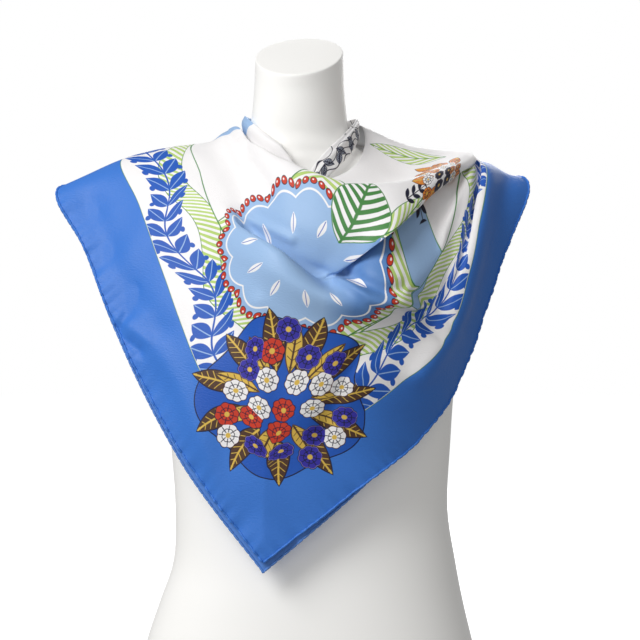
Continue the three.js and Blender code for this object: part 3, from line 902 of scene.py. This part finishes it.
def lay_blossoms(paint, s, t, place, colours):
    """Round blossoms scattered near a place, in three colours."""
    cell = place.cell
    cell_s, cell_t = s / cell + CELLS_BELOW, t / cell + CELLS_BELOW
    middle_s, middle_t, chance = scattered(paint.tree, cell_s, cell_t)
    away_s = (middle_s - CELLS_BELOW) * cell - place.s
    away_t = (middle_t - CELLS_BELOW) * cell - place.t
    near = (place.reach - length_of(away_s, away_t)) * STEEP_NEAR
    r, angle = polar((cell_s - middle_s) * cell, (cell_t - middle_t) * cell)
    lobes = abs(sine(angle * (BLOSSOM.lobes / 2)))
    disc = least(lobes * (BLOSSOM.lobe * cell) + BLOSSOM.radius * cell - r, near)
    paint.lay(disc + BLOSSOM.rim, INK)
    for start, colour in zip(COLOUR_STARTS, colours):
        paint.lay(least(disc, (chance - start) * STEEP_COLOUR), colour)
    petal = BLOSSOM.petal_line - lobes * r * BLOSSOM.petal_lean
    paint.lay(least(petal, disc - BLOSSOM.petal_inset, r - BLOSSOM.petal_from * cell), INK)
    from_ring = abs(r - BLOSSOM.ring * cell - lobes * (BLOSSOM.ring_lobe * cell))
    paint.lay(least(BLOSSOM.ring_line - from_ring, disc), INK)
    paint.lay(least(BLOSSOM.eye * cell - r, disc), OCHRE)


def lay_corner(paint, s, t):
    """A wavy panel over the tip, with a bouquet on two rounds of leaves."""
    r, angle = polar(s - CORNER_BOUQUET.s, t - CORNER_BOUQUET.t)
    panel = CORNER_PANEL.radius - sine(angle * CORNER_PANEL.waves) * CORNER_PANEL.wave - r
    paint.lay(panel + CORNER_PANEL.rim, INK)
    paint.lay(panel, ROYAL)
    lay_rays(paint, s, t, CORNER_BOUQUET, 11, start=34, length=58, half=10, colours=(INK, BROWN, OCHRE))
    lay_rays(paint, s, t, CORNER_HEART, 9, start=28, length=44, half=7, colours=(BROWN, OCHRE, BROWN))
    lay_blossoms(paint, s, t, CORNER_BOUQUET, (VERMILION, WHITE, VIOLET))


def draw_square(paint, u, v):
    q, p = least(u, v), most(u, v)
    s, t = (u - v) * math.sqrt(0.5), (u + v) * math.sqrt(0.5)
    lay_lozenges(paint, s, t)
    lay_border_band(paint, q, p)
    paint.lay(least(SHOULDER_PATCH.s - s, t - SHOULDER_PATCH.t), PALE_BLUE)
    lay_medallion(paint, s, t)
    lay_striped_leaves(paint, s, t)
    lay_sprigs(paint, s, t)
    lay_rays(paint, s, t, SHOULDER_BOUQUET, 7, start=24, length=34, half=9, colours=(BROWN, ORANGE, OCHRE))
    lay_blossoms(paint, s, t, SHOULDER_BOUQUET, (ORANGE, WHITE, INK))
    paint.lay(BORDER_WIDTH + BORDER_RIM - q, GREEN)
    paint.lay(BORDER_WIDTH - q, BORDER_BLUE)
    lay_corner(paint, s, t)


# The prints of the tails and the knot
PALE_END = Sizes(length=104.0, lean=0.4)
VINES = [
    # way its leaves lean in degrees, shift to the side, pitch
    (58, 5.0, 19.0), (-52, -4.0, 23.0)]
VINE_LEAF = Sizes(length=15.0, half=3.4, rim=0.7, rib=0.5, vein=0.35, vein_pitch=2.6)
VINE_STEM = Sizes(half=0.6, pitch=8.0)
VINE_SWINGS = [
    # radians for each millimetre, swing
    (0.22, 3), (0.087, 4)]
KNOT_STRIPE = Sizes(half=3.0, pitch=26.0, lean=1.4)


def draw_pale_tail(paint, along, across):
    paint.lay(PALE_END.length - along + across * PALE_END.lean, PALE_BLUE)


def draw_figured_tail(paint, along, across):
    """Veined leaves, and the thin stems that wind between them."""
    for lean, shift, pitch in VINES:
        x, y = turned(along % pitch, across + shift, lean)
        blade = leaf(x, y, VINE_LEAF.length, VINE_LEAF.half)
        paint.lay(blade + VINE_LEAF.rim, INK)
        paint.lay(blade, GREY)
        paint.lay(least(VINE_LEAF.rib - abs(y), blade + VINE_LEAF.rib), INK)
        paint.lay(least(lines(x - abs(y), VINE_LEAF.vein_pitch, VINE_LEAF.vein), blade), INK)
    course = across
    for turn, swing in VINE_SWINGS:
        course = course + sine(along * turn) * swing
    paint.lay(lines(course, VINE_STEM.pitch, VINE_STEM.half), INK)


def draw_knot(paint, around, up):
    paint.lay(lines(around + up * KNOT_STRIPE.lean, KNOT_STRIPE.pitch, KNOT_STRIPE.half), WHITE)


# Materials

SILK = {"roughness": 0.45, "sheen": 0.015}
TWILL = Sizes(rib=1.1, rib_depth=0.02, yarn=1.3, grain_depth=0.22)
YARN_DEGREES = 45
YARN_SQUASH = 0.35
SHEEN_ROUGHNESS = 0.35
SPECULAR = 0.3
FORM_WHITE = (249, 248, 245)
# Painted light: the form's shell glows faintly in this colour and strength, so it looks brighter than the
# lamps alone make it
FORM_PAINTED_LIGHT_COLOUR = (255, 253, 249)
FORM_ROUGHNESS = 0.5
FORM_PAINTED_LIGHT = 0.09


def new_material(name, roughness, sheen=0.0):
    """A material and its shader."""
    material = bpy.data.materials.new(name)
    material.use_nodes = True
    shader = material.node_tree.nodes["Principled BSDF"]
    shader.inputs["Roughness"].default_value = roughness
    shader.inputs["Sheen Weight"].default_value = sheen
    shader.inputs["Sheen Roughness"].default_value = SHEEN_ROUGHNESS
    shader.inputs["Specular IOR Level"].default_value = SPECULAR
    return material, shader


def flat_place(material):
    """The flat place in millimetres, from the mesh's own map."""
    tree = material.node_tree
    where = tree.nodes.new("ShaderNodeUVMap")
    where.uv_map = "flat"
    apart = tree.nodes.new("ShaderNodeSeparateXYZ")
    tree.links.new(where.outputs[0], apart.inputs[0])
    return Field(apart.outputs[0]) * (1 / MM), Field(apart.outputs[1]) * (1 / MM)


def yarn_grain(tree, u, v):
    """The unevenness of the yarns, from 0 to 1, drawn out along them."""
    across, along = turned(u / TWILL.yarn, v / TWILL.yarn, YARN_DEGREES)
    joined = tree.nodes.new("ShaderNodeCombineXYZ")
    tree.links.new(across.socket, joined.inputs[0])
    tree.links.new((along * YARN_SQUASH).socket, joined.inputs[1])
    grain = tree.nodes.new("ShaderNodeTexNoise")
    grain.noise_dimensions = "2D"
    grain.inputs["Scale"].default_value = 1.0
    grain.inputs["Detail"].default_value = 1.0
    tree.links.new(joined.outputs[0], grain.inputs["Vector"])
    return Field(grain.outputs["Fac"])


def add_twill(material, shader, u, v):
    """The twill's fine diagonal ribs, and the slight unevenness of its yarns."""
    tree = material.node_tree
    ribs = sine((u + v) * (2 * math.pi / TWILL.rib))
    height = ribs * TWILL.rib_depth + yarn_grain(tree, u, v) * TWILL.grain_depth
    bump = tree.nodes.new("ShaderNodeBump")
    bump.inputs["Strength"].default_value = 1.0
    bump.inputs["Distance"].default_value = MM
    tree.links.new(height.socket, bump.inputs["Height"])
    tree.links.new(bump.outputs[0], shader.inputs["Normal"])


def printed_silk(name, ground, draw):
    """Silk with the print that draw lays over the ground."""
    material, shader = new_material(name, **SILK)
    u, v = flat_place(material)
    paint = Paint(material, ground)
    draw(paint, u, v)
    material.node_tree.links.new(paint.top, shader.inputs["Base Color"])
    add_twill(material, shader, u, v)
    return material


def border_silk():
    material, shader = new_material("border silk", **SILK)
    shader.inputs["Base Color"].default_value = linear(*REVERSE_BLUE)
    add_twill(material, shader, *flat_place(material))
    return material


def form_shell():
    material, shader = new_material("form shell", FORM_ROUGHNESS)
    shader.inputs["Base Color"].default_value = linear(*FORM_WHITE)
    # Painted light: the shell glows, brightening the whole form beyond the lamps' light
    shader.inputs["Emission Color"].default_value = linear(*FORM_PAINTED_LIGHT_COLOUR)
    shader.inputs["Emission Strength"].default_value = FORM_PAINTED_LIGHT
    return material


# The studio: three square lamps in metres and watts, a white world, and a white floor in millimetres
LAMPS = [
    # name, place, target, side, power
    ("key", (-1.9, -1.95, 2.25), (0, 0, 0.45), 1.7, 78),
    ("fill", (-0.5, -2.6, 0.5), (0, 0, 0.4), 1.8, 9),
    ("back", (0.6, 2.6, 1.6), (0, 0, 0.45), 1.6, 34)]
WORLD = {"seen": 1.0, "ambient": 0.27}
FLOOR = Sizes(reach=9000, level=-1, white=250, roughness=0.9, glow=0.74)
FIELD_OF_VIEW = 18.2


def aimed(obj, where, target):
    """Puts a lamp or camera at its place, turned to its target."""
    obj.location = where
    obj.rotation_euler = (Vector(target) - Vector(where)).to_track_quat("-Z", "Y").to_euler()
    bpy.context.scene.collection.objects.link(obj)
    return obj


def add_lamps():
    for name, where, target, side, watts in LAMPS:
        light = bpy.data.lights.new(name, "AREA")
        light.energy = watts
        light.size = side
        aimed(bpy.data.objects.new(name, light), where, target)


def add_floor():
    """A white floor that throws no light on the object."""
    far, low = FLOOR.reach, FLOOR.level
    corners = [(-far, -far, low), (far, -far, low), (far, far, low), (-far, far, low)]
    floor = add_mesh("floor", corners, [(0, 1, 2, 3)])
    material, shader = new_material("floor", FLOOR.roughness)
    shader.inputs["Base Color"].default_value = linear(*[FLOOR.white] * 3)
    shader.inputs["Emission Color"].default_value = (1, 1, 1, 1)
    shader.inputs["Emission Strength"].default_value = FLOOR.glow
    floor.data.materials.append(material)
    floor.visible_diffuse = False
    floor.visible_glossy = False


def add_world(seen, ambient):
    """White where the camera sees it, and a softer light on the object."""
    world = bpy.data.worlds.new("studio")
    world.use_nodes = True
    tree = world.node_tree
    back = tree.nodes["Background"]
    back.inputs["Color"].default_value = (1, 1, 1, 1)
    path = tree.nodes.new("ShaderNodeLightPath")
    strength = Field(path.outputs["Is Camera Ray"]) * (seen - ambient) + ambient
    tree.links.new(strength.socket, back.inputs["Strength"])
    bpy.context.scene.world = world


def add_camera():
    """The camera at the eye of the front view, looking level at the form."""
    camera = bpy.data.cameras.new("camera")
    camera.sensor_fit = "HORIZONTAL"
    camera.angle = math.radians(FIELD_OF_VIEW)
    eye = bpy.data.objects.new("camera", camera)
    across, depth, height = EYE_ACROSS * MM, (CHEST_PLANE - EYE_DISTANCE) * MM, EYE_HEIGHT * MM
    bpy.context.scene.camera = aimed(eye, (across, depth, height), (across, 0, height))


# The pieces

def add_cloth(name, grid, flat):
    return add_mesh(name, grid.reshape(-1, 3), grid_faces(*grid.shape[:2]), flat.reshape(-1, 2))


def build_outer_layer(material):
    stations, rows = steps(0, STATION_STEPS), steps(0, ROW_STEPS)
    coarse_stations = steps(0, [n // COARSER.stations for n in STATION_STEPS])
    coarse_rows = steps(0, [n // COARSER.rows for n in ROW_STEPS])
    coarse = flatten(cloth_points(coarse_rows, coarse_stations), coarse_rows, coarse_stations)
    flat = refine(coarse, coarse_rows, coarse_stations, rows, stations)
    grid = with_soft_tip(cloth_points(rows, stations), rows, stations)
    grid = with_fine_folds(grid, flat, rows, stations)
    hem = finish_piece(add_hem("outer_hem", grid, flat), material, "outer_layer")
    grid, flat = with_turned_edge(grid, flat)
    cloth = finish_piece(add_cloth("outer_cloth", grid, flat), material, "outer_layer")


def build_under_layer(material):
    stations = steps(1, STATION_STEPS[1:-1])
    grid = under_points(stations)
    flat = np.stack([np.zeros(grid.shape[:2]), run_length(grid, 1)], -1)
    hem = finish_piece(add_hem("under_hem", grid, flat), material, "under_layer")
    cloth = finish_piece(add_cloth("under_cloth", grid, flat), material, "under_layer")


def build_scene():
    finish_piece(add_form(), form_shell(), "dress_form")
    build_outer_layer(printed_silk("printed silk", WHITE, draw_square))
    build_under_layer(border_silk())
    left = add_tail("left_roll", LEFT_TAIL, **LEFT_CREASES)
    finish_piece(left, printed_silk("pale silk", WHITE, draw_pale_tail), "left_tail")
    right = add_tail("right_roll", RIGHT_TAIL, **RIGHT_CREASES)
    finish_piece(right, printed_silk("figured silk", WHITE, draw_figured_tail), "right_tail")
    finish_piece(add_knot(), printed_silk("knot silk", PALE_BLUE, draw_knot), "nape_knot")
    add_floor()
    add_world(**WORLD)
    add_lamps()
    add_camera()


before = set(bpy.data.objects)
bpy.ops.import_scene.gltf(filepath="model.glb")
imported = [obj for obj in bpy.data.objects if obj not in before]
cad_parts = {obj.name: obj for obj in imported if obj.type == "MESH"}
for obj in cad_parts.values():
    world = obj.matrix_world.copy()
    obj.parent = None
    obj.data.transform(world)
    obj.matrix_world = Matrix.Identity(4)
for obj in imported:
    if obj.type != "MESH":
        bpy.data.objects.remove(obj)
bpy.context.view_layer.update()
build_scene()
bpy.context.scene.view_settings.view_transform = "Standard"
